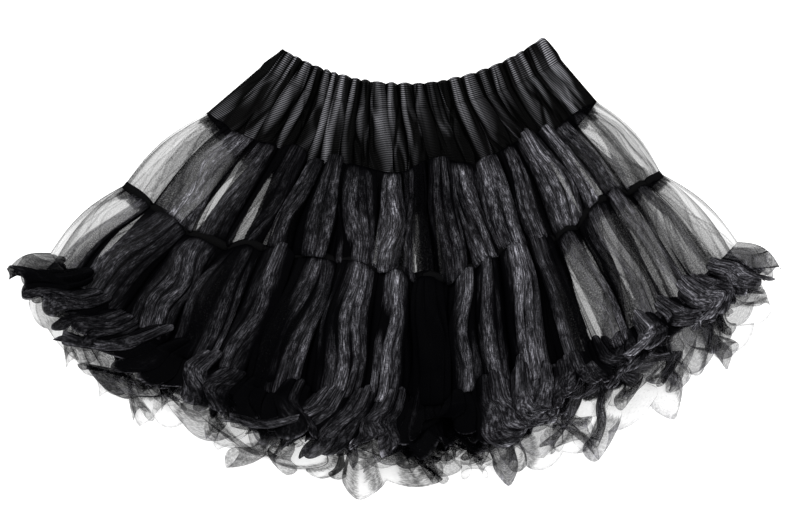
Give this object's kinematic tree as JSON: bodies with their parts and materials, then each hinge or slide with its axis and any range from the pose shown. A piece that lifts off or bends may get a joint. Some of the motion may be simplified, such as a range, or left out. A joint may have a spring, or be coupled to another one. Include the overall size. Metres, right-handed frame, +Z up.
{
  "type": "tutu skirt",
  "caption": "Black tutu skirt laid out flat, with a ribbed elastic-waisted yoke, gathered sheer tiers joined by a taped seam, and flounces at the hem.",
  "frame": {"origin": "under the middle of the laid-out skirt's outline, on the surface that it lies on", "axes": "+X across the skirt, +Y from its hem to its waist, +Z up from the surface"},
  "size_m": [0.773, 0.456, 0.0455],
  "materials": {
    "ribbed_knit": "fine crosswise ribs with a soft satin sheen",
    "organza": "sheer crinkled tulle or organza",
    "binding": "matt narrow woven binding"
  },
  "bodies": {
    "root": {"yoke_front": "ribbed_knit", "yoke_back": "ribbed_knit", "upper_tier_front": "organza", "upper_tier_back": "organza", "tier_tape_front": "binding", "tier_tape_back": "binding", "lower_tier_front": "organza", "lower_tier_back": "organza", "flounce_front_upper": "organza", "flounce_front_lower": "organza", "flounce_back_upper": "organza", "flounce_back_lower": "organza"}
  },
  "joints": []
}
